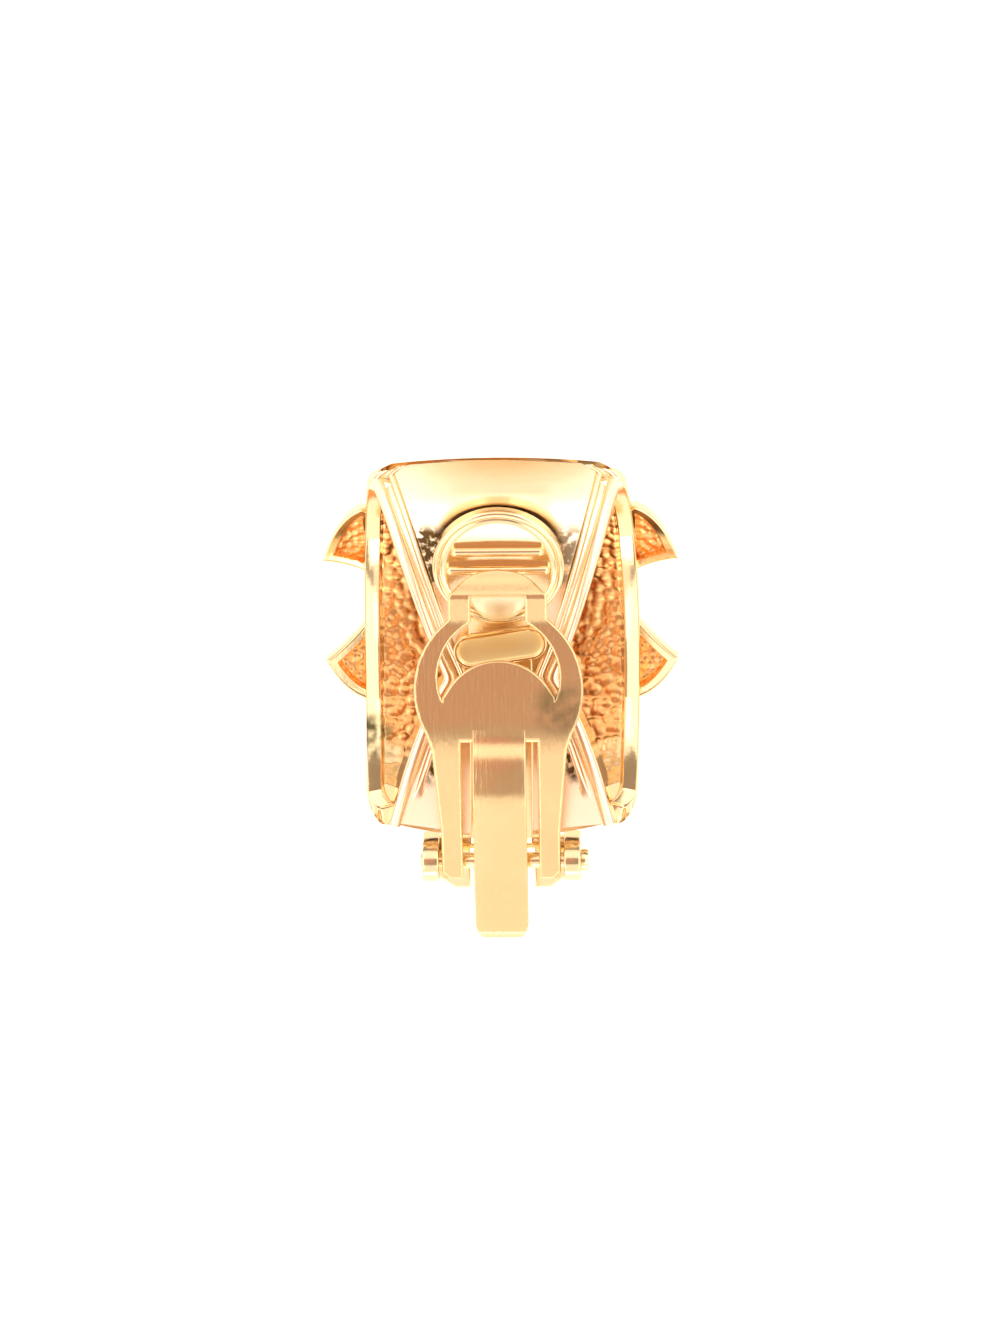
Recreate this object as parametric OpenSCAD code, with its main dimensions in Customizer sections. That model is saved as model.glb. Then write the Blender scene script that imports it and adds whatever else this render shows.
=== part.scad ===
// Clip-on earring: a hollow cast half-hoop with a pierced back, four pointed arms and a hinged clip.
// Millimetres. It lies on its front with the clip up: +Z is up, +Y points to the earring's top,
// and the origin is on the surface that it rests on, below the middle of its bounding box.
// The pieces are drawn in a local frame whose origin is the centre of the front shell's arc, with
// local z towards the ear; the module seated() then leans that frame to the pose it rests in.

/* [Cast body] */
// Width of the body at its lower end
body_w = 17.2; // [17:0.1:17.4]
// Width of the body at its upper end
upper_w = 15.9; // [15.8:0.1:16.2]
// Radius of the front shell's outer arc, on the middle line
shell_r = 13.1; // [13:0.05:13.2]
// Half of the angle that the front shell's arc spans, in degrees
shell_half_angle = 71; // [70:0.5:72]
// How much the front shell is domed from side to side
shell_dome = 0.8; // [0.6:0.1:0.9]
// Wall of the front shell
shell_wall = 1.0; // [0.9:0.05:1.05]
// Width of the polished border along each side of the shell
border_w = 1.0; // [0.9:0.05:1.1]
// Depth of that border at the middle of the arc
border_depth = 1.5; // [1.3:0.1:1.6]
// Radius of the corners of the body, seen from the back
corner_r = 1.3; // [1:0.1:1.6]

/* [Back strap] */
// Radius of the hollow curve of the strap
strap_r = 20; // [19.5:0.1:20.5]
// Thickness of the strap
strap_t = 0.9; // [0.8:0.05:1]
// Half width of the strap at its waist
waist_half_w = 3.7; // [3.6:0.1:4]
// Place of the waist along the strap
waist_y = -3.2; // [-3.4:0.1:-3]
// Half width of the strap at its upper end
top_half_w = 7.85; // [7.7:0.05:7.9]
// Half width of the strap at its lower end
foot_half_w = 7.15; // [7:0.05:7.3]
// Width of the rounded rim along each edge of the strap
rim_w = 0.85; // [0.75:0.05:0.95]
// Height of that rim above the strap
rim_h = 0.45; // [0.35:0.05:0.5]

/* [Front arms] */
// Reach of an arm's point from the middle line
arm_tip_x = 11.3; // [11.1:0.1:11.4]
// Half of the height between an upper and a lower arm's points
arm_tip_y = 3.4; // [3.3:0.05:3.5]
// Outer radius of the raised cross, on the middle line
arm_r = 13.7; // [13.68:0.01:13.72]
// How far the cross falls back from the middle line to its points
arm_drop = 1.6; // [1.5:0.05:1.7]
// Thickness of an arm at its edge
arm_t = 1.3; // [1.25:0.05:1.35]

/* [Clip] */
// Radius of the round ear pad
pad_r = 4.15; // [4.1:0.05:4.2]
// Place of the ear pad along the strap
pad_y = 4.85; // [4.8:0.05:4.9]
// Thickness of the ear pad
pad_t = 0.8; // [0.75:0.05:0.85]
// Thickness of the sheet that the clip is stamped from
sheet_t = 0.5; // [0.46:0.02:0.52]
// Radius of the paddle's round plate
paddle_r = 5.3; // [5.2:0.05:5.35]
// Half width of the spring tongue
tongue_half_w = 1.68; // [1.6:0.01:1.7]
// Radius of the hinge pin
pin_r = 0.5; // [0.48:0.01:0.5]
// Running clearance around the hinge pin
pin_clearance = 0.04; // [0.03:0.01:0.05]

/* [Rest] */
// Lean of the earring as it lies on its front, in degrees
lean = 18; // [17.8:0.1:18.2]
// Height of the arc's centre above the surface; it sets the small flat that the cross rests on
lift = 13.18; // [13.16:0.01:13.2]

/* [Hidden] */
$fn = 64;

// Cast body, in the local frame
half_w = body_w / 2;
upper_half_w = upper_w / 2;
side_bend = [9.3, 3];
shell_edge_r = shell_r - shell_dome;
end_y = shell_r * sin(shell_half_angle);
end_z = -shell_r * cos(shell_half_angle);
section_steps = 6;
blank_half_w = half_w + 0.3;
strap_end_y = 11.9;
strap_centre_z = -4.3 + sqrt(strap_r * strap_r - strap_end_y * strap_end_y);
border_low_z = -shell_edge_r + border_depth;
border_rise = end_z - border_low_z;
border_seat = 0.15;
border_r = (strap_end_y * strap_end_y + border_rise * border_rise) / (2 * border_rise);
waist_power = 0.34;
waist_round = 0.03;
waist_scale = 1 / (pow(1 + waist_round * waist_round, waist_power) - pow(waist_round, 2 * waist_power));
outline_steps = 14;
groove_w = 0.28;
bead_w = 0.45;
bead_h = 0.25;
band_root = 0.3;
shell_trim = 0.55;
end_inset = 0.05;
far = 60;

// Front cross and arms
cross_y = 1.25;
arm_root_in = 1.66;
arm_root_out = 6.7;
arm_notch_x = 5.2;
arm_crotch_y = 2.85;
tip_shift = -0.7;
outer_crotch_bend = 4.3;
outer_tip_bend = [10.25, 6.15];
inner_tip_bend = [9.75, 2.7];
inner_root_bend = [5.7, 0.9];
bend_steps = 6;
arm_border = 0.55;
arm_recess = 0.5;
pocket_gap = 0.15;
pocket_reach = 1.25;

// Clip base
seat_gap = 0.02;
stem_t = 0.6;
stem_half_w = 2.0;
stem_top_y = 6;
stem_foot_y = -12.3;
foot_outer = [-12.95, -13.2];
foot_inner = [-12.5, -12.7];
stem_steps = 12;
pad_sink = 0.1;
pad_tilt = asin(pad_y / strap_r);
pad_edge = 0.3;
bar_w = 0.62;
bar_h = 0.45;
upper_bar_len = 5.8;
upper_bar_y = 1.38;
lower_bar_len = 6.5;
lower_bar_y = 0.03;
rivet_y = -1.95;
rivet_r = 1.75;
rivet_h = 0.7;
rivet_shank_r = 0.8;
rivet_shank = pad_t - pad_sink + stem_t + seat_gap + strap_t + 0.3;
plaque_size = [6, 2.2, 0.4];
plaque_y = -1.0;
plaque_turn = 8;
plaque_frame = 0.3;
plaque_sink = 0.05;

// Hinge
hinge_y = -13.8;
hinge_z = -3.2;
ear_in = 3.95;
ear_out = 5.0;
ear_r = 1.3;
floor_top = -4.5;
floor_t = 0.6;
floor_start_y = -12.75;
floor_end_y = -16.2;
floor_side_y = -14.8;
notch_half_w = 2.05;
notch_top_y = -13.5;
pin_head_r = 0.72;
lug_in = 3.2;
lug_out = 3.75;
lug_r = 0.85;

// Paddle
leg_top_z = -2.05;
bend_y = -5.5;
head_y = 1.85;
head_z = -4.3;
fold_y = 3.65;
lip_bend = [4.35, -4.5];
lip_end = [5.05, -4.85];
lip_r = 4.0;
ring_y = -2.3;
slot_out = 2.4;
leg_half_w = 4.25;
leg_taper_y = -11.4;
leg_end_y = -14.65;
hole_r = 3.8;
hole_y = -1.55;
hole_end_y = -2.5;
island_r = 3.77;
island_y = -4.25;
neck_half_w = 1.7;
neck_round_r = 1.75;
head_half_w = 3.1;
tongue_crest = [-7.5, -1.1];
tongue_tail = [-18.0, -1.78];
curl_r = 0.75;
root_sink = 0.04;

// Shift that sets the origin below the middle of the bounding box
centre_shift = 2.0;

// Height of the strap's hollow face at a place along it
function strap_z(y, up = 0) = strap_centre_z - sqrt(pow(strap_r - up, 2) - y * y);

// Half width of the strap at a place along it: a rounded waist that opens as a power of the distance
function opening(s) = waist_scale
    * (pow(s * s + waist_round * waist_round, waist_power) - pow(waist_round, 2 * waist_power));
function strap_half_w(y) = y > waist_y
    ? waist_half_w + (top_half_w - waist_half_w) * opening((y - waist_y) / (12 - waist_y))
    : waist_half_w + (foot_half_w - waist_half_w) * opening((waist_y - y) / (12 + waist_y));

// Outer radius of the shell at a place across it
function dome_r(x) = shell_edge_r + shell_dome * (1 - pow(x / half_w, 2));

// Leans the local frame into the resting pose and sets it on the surface
module seated() {
    translate([0, centre_shift, lift])
        rotate([lean, 0, 0])
            children();
}

// Carries a profile drawn in local (y, z) across the body, from x_low to x_high
module across(x_low, x_high) {
    translate([x_low, 0, 0])
        rotate([90, 0, 90])
            linear_extrude(x_high - x_low)
                children();
}

// Carries an outline drawn in local (x, y) through the whole depth
module through() {
    translate([0, 0, -far / 2])
        linear_extrude(far)
            children();
}

// Points of a curve from a to b that bends towards c, without a itself
function bend(a, c, b) = [for (i = [1 : bend_steps])
    let (s = i / bend_steps)
        (1 - s) * (1 - s) * a + 2 * s * (1 - s) * c + s * s * b];

// A slice of tube about the axis of an arc, between two radii, on the front side only
module arc_layer(r_in, r_out, centre_z, half_span) {
    across(-half_span, half_span)
        intersection() {
            difference() {
                translate([0, centre_z])
                    circle(r_out, $fn = 128);
                translate([0, centre_z])
                    circle(r_in, $fn = 128);
            }
            translate([-far / 2, -far])
                square([far, far + centre_z]);
        }
}

// Long side of the body seen from the back, drawn in by an inset, from the lower to the upper end
function side_line(inset, reach) = concat(
    [[half_w - inset, -reach]],
    bend([half_w - inset, -reach], side_bend - [inset, 0], [upper_half_w - inset, reach])
);

function mirrored(points) = [for (i = [len(points) - 1 : -1 : 0]) [-points[i][0], points[i][1]]];

// Outline of the body seen from the back, with rounded corners
module body_outline() {
    reach_y = end_y - corner_r;
    side = side_line(0, reach_y);
    ends = side_line(corner_r, end_y);
    polygon(concat(side, mirrored(side)));
    polygon(concat(ends, mirrored(ends)));
    for (sx = [-1, 1]) {
        translate([sx * (half_w - corner_r), -reach_y])
            circle(corner_r);
        translate([sx * (upper_half_w - corner_r), reach_y])
            circle(corner_r);
    }
}

// Wall of the front shell: a domed section swept round the arc
module front_shell() {
    section = [for (i = [0 : section_steps]) blank_half_w * (2 * i / section_steps - 1)];
    outer = [for (x = section) [dome_r(x), x]];
    inner = [for (i = [section_steps : -1 : 0]) [dome_r(section[i]) - shell_wall, section[i]]];
    rotate([0, 90, 0])
        rotate([0, 0, -shell_half_angle])
            rotate_extrude(angle = 2 * shell_half_angle, $fn = 128)
                polygon(concat(outer, inner));
}

// Polished border along both sides of the shell, deepest at the middle of the arc
module side_borders() {
    edge = side_line(0, end_y);
    inner = side_line(border_w, end_y);
    for (side = [0, 1])
        mirror([side, 0, 0])
            intersection() {
                across(0, blank_half_w)
                    intersection() {
                        difference() {
                            circle(shell_edge_r - border_seat, $fn = 128);
                            translate([0, border_low_z + border_r])
                                circle(border_r, $fn = 128);
                        }
                        translate([-far / 2, -far])
                            square([far, far + end_z]);
                    }
                through()
                    polygon(concat(edge, [for (i = [len(inner) - 1 : -1 : 0]) inner[i]]));
            }
}

// Outline of the strap, narrowed on both sides by an inset
module strap_outline(inset = 0) {
    reach = end_y + 0.6;
    ys = [for (i = [0 : outline_steps]) reach * (2 * i / outline_steps - 1)];
    right = [for (y = ys) [strap_half_w(max(-end_y, min(end_y, y))) - inset, y]];
    left = [for (i = [outline_steps : -1 : 0]) [-right[i][0], right[i][1]]];
    polygon(concat(right, left));
}

// A raised band along both edges of the strap, between two insets
module edge_band(from, to, height) {
    intersection() {
        arc_layer(strap_r - height, strap_r + band_root, strap_centre_z, half_w);
        through()
            difference() {
                strap_outline(from);
                strap_outline(to);
            }
    }
}

// Hollow strap that closes the back, with a rounded rim and a thinner bead along each edge
module back_strap() {
    intersection() {
        arc_layer(strap_r, strap_r + strap_t, strap_centre_z, half_w);
        through()
            strap_outline();
    }
    edge_band(0, rim_w, rim_h);
    edge_band(rim_w + groove_w, rim_w + groove_w + bead_w, bead_h);
}

// Solid form inside the shell's outer face, which trims the ends of the strap
module outer_form() {
    section = [for (i = [0 : section_steps]) blank_half_w * (2 * i / section_steps - 1)];
    rim = [for (x = section) [dome_r(x) - end_inset, x]];
    rotate([0, 90, 0])
        rotate_extrude($fn = 128)
            polygon(concat([[0, -blank_half_w]], rim, [[0, blank_half_w]]));
}

// Space above the strap's wall and its upper part, which trims the ends of the shell
module strap_hollow() {
    across(-half_w - 1, half_w + 1)
        translate([0, strap_centre_z])
            circle(strap_r + shell_trim, $fn = 128);
}

// Layer under the domed face of the cross, between two depths
module cross_layer(from, to) {
    reach = arm_tip_x + 1;
    section = [for (i = [0 : section_steps]) -reach + 2 * reach * i / section_steps];
    face = [for (x = section) [arm_r - arm_drop * pow(x / arm_tip_x, 2), x]];
    near = [for (p = face) [p[0] - from, p[1]]];
    deep = [for (i = [section_steps : -1 : 0]) [face[i][0] - to, face[i][1]]];
    rotate([0, 90, 0])
        rotate_extrude($fn = 128)
            polygon(concat(near, deep));
}

// One pointed arm and its share of the middle, on the right; up is 1 for the upper arm, -1 below
module arm_quarter(up) {
    crotch = [0, up * arm_crotch_y];
    outer_root = [half_w, up * arm_root_out];
    tip = [arm_tip_x, up * arm_tip_y + tip_shift];
    inner_root = [half_w, up * arm_root_in];
    notch = [arm_notch_x, 0];
    polygon(concat(
        [[0, 0], crotch],
        bend(crotch, [outer_crotch_bend, up * arm_crotch_y], outer_root),
        bend(outer_root, [outer_tip_bend[0], up * outer_tip_bend[1]], tip),
        bend(tip, [inner_tip_bend[0], up * inner_tip_bend[1] + tip_shift / 2], inner_root),
        bend(inner_root, [inner_root_bend[0], up * inner_root_bend[1]], notch)
    ));
}

module cross_outline() {
    translate([0, cross_y])
        for (side = [0, 1])
            for (up = [-1, 1])
                mirror([side, 0])
                    arm_quarter(up);
}

// Floor of an arm's sunk back, a border's width inside the arm's edges
module arm_pocket(up) {
    polygon([
        [half_w + pocket_gap, up * (arm_root_in + arm_border + pocket_gap)],
        [arm_tip_x - 1.5 * arm_border, up * arm_tip_y + tip_shift],
        [half_w + pocket_reach, up * (arm_root_out - 1.9 * arm_border) + tip_shift / 3],
        [half_w + pocket_gap, up * (arm_root_out - 1.1 * arm_border)]
    ]);
}

// Raised cross on the front; its four points stand clear of the sides as arms with a sunk back
module front_cross() {
    difference() {
        intersection() {
            cross_layer(0, arm_t);
            through()
                cross_outline();
            translate([-far / 2, -far / 2, -far])
                cube([far, far, far]);
        }
        intersection() {
            cross_layer(arm_t - arm_recess, arm_t + 1);
            through()
                translate([0, cross_y])
                    for (side = [0, 1])
                        for (up = [-1, 1])
                            mirror([side, 0])
                                arm_pocket(up);
        }
    }
}

// The casting: shell, borders, strap and cross in one piece, with the flat it rests on
module cast_body() {
    color("gold")
        difference() {
            seated()
                difference() {
                    union() {
                        intersection() {
                            union() {
                                difference() {
                                    union() {
                                        front_shell();
                                        side_borders();
                                    }
                                    strap_hollow();
                                }
                                intersection() {
                                    back_strap();
                                    outer_form();
                                }
                            }
                            through()
                                body_outline();
                        }
                        front_cross();
                    }
                    rivet_bore();
                }
            translate([-far, -far, -2 * far])
                cube([2 * far, 2 * far, 2 * far]);
        }
}

// Moves to the middle of the ear pad's face, square to it
module on_pad() {
    translate([0, pad_y, strap_z(pad_y)])
        rotate([pad_tilt, 0, 0])
            translate([0, 0, stem_t + seat_gap - pad_sink + pad_t])
                children();
}

// Bore for the rivet's shank, from the pad's face to just past the strap
module rivet_bore() {
    on_pad()
        translate([0, rivet_y, -rivet_shank])
            cylinder(r = rivet_shank_r + seat_gap, h = rivet_shank + seat_gap);
}

// Round ear pad with a softened edge and two raised bars that grip the lobe
module ear_pad() {
    on_pad() {
        rotate_extrude()
            polygon([
                [0, -pad_t],
                [pad_r - pad_edge / 2, -pad_t],
                [pad_r, -pad_t + pad_edge / 2],
                [pad_r, -pad_edge],
                [pad_r - pad_edge, 0],
                [0, 0]
            ]);
        grip_bar(upper_bar_len, upper_bar_y);
        grip_bar(lower_bar_len, lower_bar_y);
    }
}

module grip_bar(len, y) {
    translate([-len / 2 + bar_w / 2, y - bar_w / 2, -pad_t / 2])
        cube([len - bar_w, bar_w, pad_t / 2 + bar_h]);
    for (side = [-1, 1])
        translate([side * (len - bar_w) / 2, y, -pad_t / 2])
            cylinder(d = bar_w, h = pad_t / 2 + bar_h);
}

// Stem of the clip base: it follows the strap, passes over its lower end and goes down into the
// floor of the hinge
module base_stem() {
    ys = [for (i = [0 : stem_steps]) stem_top_y + (stem_foot_y - stem_top_y) * i / stem_steps];
    upper = [for (y = ys) [y, strap_z(y, seat_gap + stem_t)]];
    lower = [for (i = [stem_steps : -1 : 0]) [ys[i], strap_z(ys[i], seat_gap)]];
    bend_z = strap_z(stem_foot_y, seat_gap);
    foot_z = floor_top - floor_t / 2;
    across(-stem_half_w, stem_half_w)
        polygon(concat(
            upper,
            [
                [foot_outer[0], bend_z + stem_t],
                [foot_outer[1], foot_z],
                [foot_inner[1], foot_z],
                [foot_inner[0], bend_z]
            ],
            lower
        ));
}

// Hinge floor with a slot for the tongue, and its two ears
module hinge_bracket() {
    difference() {
        translate([0, 0, floor_top - floor_t])
            linear_extrude(floor_t)
                polygon([
                    [-ear_out, floor_start_y],
                    [-ear_out, floor_side_y],
                    [-notch_half_w - 1, floor_end_y],
                    [notch_half_w + 1, floor_end_y],
                    [ear_out, floor_side_y],
                    [ear_out, floor_start_y]
                ]);
        translate([-notch_half_w, floor_end_y - 1, floor_top - 2 * floor_t])
            cube([2 * notch_half_w, notch_top_y - floor_end_y + 1, 3 * floor_t]);
    }
    for (side = [-1, 1])
        difference() {
            across(side > 0 ? ear_in : -ear_out, side > 0 ? ear_out : -ear_in) {
                translate([hinge_y, hinge_z])
                    circle(ear_r);
                translate([hinge_y - ear_r, floor_top - floor_t])
                    square([2 * ear_r, hinge_z - floor_top + floor_t]);
            }
            translate([side * ear_in - 2, hinge_y, hinge_z])
                rotate([0, 90, 0])
                    cylinder(r = pin_r + seat_gap, h = 4);
        }
}

// Plain plaque on the stem, set a little askew, with a raised frame
module stem_plaque() {
    translate([0, plaque_y, strap_z(plaque_y, seat_gap + stem_t) - plaque_sink])
        rotate([asin(plaque_y / strap_r), 0, plaque_turn])
            difference() {
                plaque_slab(0, plaque_size[2] + plaque_sink);
                translate([0, 0, plaque_size[2] / 2 + plaque_sink])
                    plaque_slab(plaque_frame, plaque_size[2]);
            }
}

module plaque_slab(inset, height) {
    size = [plaque_size[0] - 2 * inset, plaque_size[1] - 2 * inset];
    linear_extrude(height) {
        square([size[0] - size[1], size[1]], center = true);
        for (side = [-1, 1])
            translate([side * (size[0] - size[1]) / 2, 0])
                circle(d = size[1]);
    }
}

// Clip base: ear pad, stem, plaque and hinge bracket in one piece
module clip_base() {
    color("goldenrod")
        seated()
            difference() {
                union() {
                    ear_pad();
                    base_stem();
                    stem_plaque();
                    hinge_bracket();
                }
                rivet_bore();
                on_pad()
                    translate([0, rivet_y, 0])
                        cylinder(r = rivet_r + seat_gap, h = rivet_h + 1);
            }
}

// Rivet with a low domed head, which holds the clip base on the strap
module base_rivet() {
    dome_sphere_r = (rivet_r * rivet_r + rivet_h * rivet_h) / (2 * rivet_h);
    color("gold")
        seated()
            on_pad()
                translate([0, rivet_y, 0]) {
                    intersection() {
                        translate([0, 0, rivet_h - dome_sphere_r + seat_gap])
                            sphere(dome_sphere_r);
                        translate([0, 0, seat_gap])
                            cylinder(r = rivet_r, h = rivet_h + 1);
                    }
                    translate([0, 0, -rivet_shank])
                        cylinder(r = rivet_shank_r, h = rivet_shank + rivet_h / 2);
                }
}

// Side profile of a bent strip: its upper edge runs through the points, its lower edge below them
function strip(points, t) = concat(
    points,
    [for (i = [len(points) - 1 : -1 : 0]) strip_below(points, i, t)]
);
function strip_normal(points, i) = let (d = points[i + 1] - points[i]) [d[1], -d[0]] / norm(d);
function strip_below(points, i, t) = let (
    a = strip_normal(points, max(i - 1, 0)),
    b = strip_normal(points, min(i, len(points) - 2)),
    m = (a + b) / norm(a + b)
) points[i] + m * t / (m * b);

// Plan of the paddle's hole: a crescent over the round island, open into the neck of the head
module paddle_hole() {
    hole_edge_x = sqrt(pow(hole_r, 2) - pow(hole_end_y - hole_y, 2));
    island_edge_x = sqrt(pow(island_r, 2) - pow(hole_end_y - island_y, 2));
    difference() {
        union() {
            translate([0, hole_y])
                circle(hole_r);
            translate([-neck_half_w, 0])
                square([2 * neck_half_w, fold_y - 0.2]);
            translate([0, fold_y - 0.3 - neck_round_r])
                circle(neck_round_r);
        }
        translate([0, island_y])
            circle(island_r);
        translate([-paddle_r, hole_end_y - far])
            square([2 * paddle_r, far]);
    }
    for (side = [-1, 1])
        translate([side * (hole_edge_x + island_edge_x) / 2, hole_end_y])
            circle((hole_edge_x - island_edge_x) / 2 + 0.03);
}

// Plan of the paddle: round plate, legs, head and lip, with the crescent hole and the slots
module paddle_plan() {
    difference() {
        union() {
            translate([0, ring_y])
                circle(paddle_r, $fn = 96);
            polygon([
                [-leg_half_w, bend_y - 0.5],
                [-leg_half_w - 0.4, ring_y - 2.5],
                [leg_half_w + 0.4, ring_y - 2.5],
                [leg_half_w, bend_y - 0.5],
                [lug_out, leg_taper_y],
                [lug_out, leg_end_y + 0.5],
                [lug_out - 0.5, leg_end_y],
                [-lug_out + 0.5, leg_end_y],
                [-lug_out, leg_end_y + 0.5],
                [-lug_out, leg_taper_y]
            ]);
            translate([-head_half_w, 0])
                square([2 * head_half_w, fold_y]);
            intersection() {
                translate([0, lip_end[0] - lip_r])
                    circle(lip_r);
                translate([-head_half_w, fold_y - 0.5])
                    square([2 * head_half_w, 4]);
            }
        }
        paddle_hole();
        translate([-slot_out, -far])
            square([2 * slot_out, far + bend_y]);
    }
}

// Plate, legs and lip of the paddle: one bent strip cut to the plan
module paddle_plate() {
    profile = [
        [leg_end_y - 1, leg_top_z - 0.05],
        [bend_y, leg_top_z],
        [head_y, head_z + sheet_t],
        [fold_y, head_z + sheet_t],
        lip_bend,
        lip_end,
        lip_end + (lip_end - lip_bend)
    ];
    intersection() {
        across(-paddle_r - 1, paddle_r + 1)
            polygon(strip(profile, sheet_t));
        through()
            paddle_plan();
    }
}

// Spring tongue: it rises over the plate, runs past the hinge and curls under at its tail
module spring_tongue() {
    curl = [for (a = [90 : 30 : 240])
        tongue_tail + curl_r * [cos(a), sin(a) - 1]];
    profile = concat(
        [for (i = [len(curl) - 1 : -1 : 0]) curl[i]],
        [
            tongue_crest + [-1.4, 0.02],
            tongue_crest,
            tongue_crest + [0.9, -0.3],
            [bend_y, leg_top_z - root_sink],
            [bend_y + 0.8, leg_top_z - root_sink + 0.8 * (head_z + sheet_t - leg_top_z) / (head_y - bend_y)]
        ]
    );
    across(-tongue_half_w, tongue_half_w)
        polygon(strip(profile, sheet_t - 2 * root_sink));
}

// Lugs under the legs, bored for the pin
module pin_lugs() {
    for (side = [-1, 1])
        across(side > 0 ? lug_in : -lug_out, side > 0 ? lug_out : -lug_in) {
            translate([hinge_y, hinge_z])
                circle(lug_r);
            translate([hinge_y - lug_r, hinge_z])
                square([2 * lug_r, leg_top_z - sheet_t / 2 - hinge_z]);
        }
}

module clip_paddle() {
    color("rosybrown")
        seated()
            difference() {
                union() {
                    paddle_plate();
                    spring_tongue();
                    pin_lugs();
                }
                translate([-far / 2, hinge_y, hinge_z])
                    rotate([0, 90, 0])
                        cylinder(r = pin_r + pin_clearance, h = far);
            }
}

// Hinge pin: it passes through both ears and both lugs, and its head stands out on one side
module hinge_pin() {
    color("gold")
        seated()
            translate([0, hinge_y, hinge_z])
                rotate([0, 90, 0]) {
                    translate([0, 0, -ear_out - 0.15])
                        cylinder(r = pin_r, h = 2 * ear_out + 0.2);
                    translate([0, 0, ear_out + seat_gap])
                        cylinder(r = pin_head_r, h = 0.5);
                }
}

cast_body();
clip_base();
base_rivet();
clip_paddle();
hinge_pin();
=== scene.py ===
# %% [markdown]
# A clip-on earring is a small casting with a hinged clip riveted to its back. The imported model
# gives the exact places of all its parts, so it is loaded first and never moved. Everything new
# is made round it, in the same frame and in metres.

import bmesh
import bpy
import numpy as np
from mathutils import Matrix, Vector


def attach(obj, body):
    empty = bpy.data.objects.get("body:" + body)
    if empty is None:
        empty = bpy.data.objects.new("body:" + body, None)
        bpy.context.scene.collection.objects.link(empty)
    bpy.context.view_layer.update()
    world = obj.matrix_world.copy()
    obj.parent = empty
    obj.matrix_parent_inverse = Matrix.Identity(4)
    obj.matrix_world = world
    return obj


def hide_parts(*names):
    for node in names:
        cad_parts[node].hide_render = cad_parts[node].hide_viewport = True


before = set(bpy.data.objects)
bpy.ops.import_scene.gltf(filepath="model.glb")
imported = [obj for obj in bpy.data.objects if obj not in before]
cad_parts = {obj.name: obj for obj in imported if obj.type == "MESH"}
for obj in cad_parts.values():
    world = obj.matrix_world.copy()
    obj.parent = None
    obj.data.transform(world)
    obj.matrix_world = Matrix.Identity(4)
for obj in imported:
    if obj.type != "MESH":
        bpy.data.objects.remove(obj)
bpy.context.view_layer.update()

# %% [markdown]
# The casting is drawn like its mould: about the centre of the front's arc, in millimetres, with
# local z towards the ear. One function then leans that drawing by 18 degrees, sets it on the
# floor and turns it into metres. Working in the mould's own frame keeps every formula short.

# %% Local frame
LEAN = np.radians(18.0)
CENTRE_SHIFT = 2.0
LIFT = 13.18


def place(points):
    """Local millimetres to world metres: a turn about X by the lean, a shift and a scale."""
    p = np.asarray(points, float)
    c, s = np.cos(LEAN), np.sin(LEAN)
    y = p[..., 1] * c - p[..., 2] * s + CENTRE_SHIFT
    z = p[..., 1] * s + p[..., 2] * c + LIFT
    return np.stack([p[..., 0], y, np.maximum(z, 0.0)], -1) / 1000


print("arc centre in metres:", place([0, 0, 0]).round(5))

# %% [markdown]
# Most of the earring's surfaces are a profile carried along a path: rows of points, one row for
# each place along the path. The same few lines turn any such grid into a mesh. A grid can close
# on itself across the row, which makes a tube, and its two ends can be closed by a flat face.

# %% Grids to meshes
MERGE = 2e-7


def grid_faces(rows, cols, wrap, start=0):
    """Four-cornered faces between neighbouring points; a tube's last column meets its first."""
    i = np.arange(rows - 1)[:, None] * cols
    j = np.arange(cols if wrap else cols - 1)[None, :]
    k = (j + 1) % cols
    quads = np.stack([i + j, i + k, i + cols + k, i + cols + j], -1)
    return quads.reshape(-1, 4) + start


def make_piece(name, grids, body="earring", sharp=40.0, values=None, sheet=None):
    """One mesh from grids given as (points, wrap, caps), with doubles merged and faces outward.

    values holds one array per grid, kept on the points as the attribute called relief. sheet is
    one more part, given as finished points and faces.
    """
    points, faces, marks, start = [], [], [], 0
    for index, (grid, wrap, caps) in enumerate(grids):
        rows, cols = grid.shape[:2]
        points.append(place(grid).reshape(-1, 3))
        faces += grid_faces(rows, cols, wrap, start).tolist()
        if caps:
            faces.append(list(range(start + cols - 1, start - 1, -1)))
            faces.append(list(range(start + (rows - 1) * cols, start + rows * cols)))
        if values is not None:
            marks.append(values[index].ravel())
        start += rows * cols
    if sheet is not None:
        points.append(place(sheet[0]))
        faces += [[start + corner for corner in dict.fromkeys(face)] for face in sheet[1].tolist()]
    mesh = bpy.data.meshes.new(name)
    mesh.from_pydata(np.concatenate(points).tolist(), [], faces)
    if values is not None:
        relief = mesh.attributes.new("relief", "FLOAT", "POINT")
        relief.data.foreach_set("value", np.concatenate(marks).astype(np.float32))
    shape = bmesh.new()
    shape.from_mesh(mesh)
    bmesh.ops.remove_doubles(shape, verts=shape.verts, dist=MERGE)
    bmesh.ops.dissolve_degenerate(shape, edges=shape.edges, dist=1e-8)
    bmesh.ops.recalc_face_normals(shape, faces=shape.faces)
    if shape.calc_volume(signed=True) < 0:
        bmesh.ops.reverse_faces(shape, faces=shape.faces)
    shape.to_mesh(mesh)
    shape.free()
    mesh.shade_smooth()
    mesh.set_sharp_from_angle(angle=np.radians(sharp))
    piece = bpy.data.objects.new(name, mesh)
    bpy.context.scene.collection.objects.link(piece)
    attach(piece, body)
    print(name, len(mesh.vertices), "points,", len(mesh.polygons), "faces")
    return piece


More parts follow.
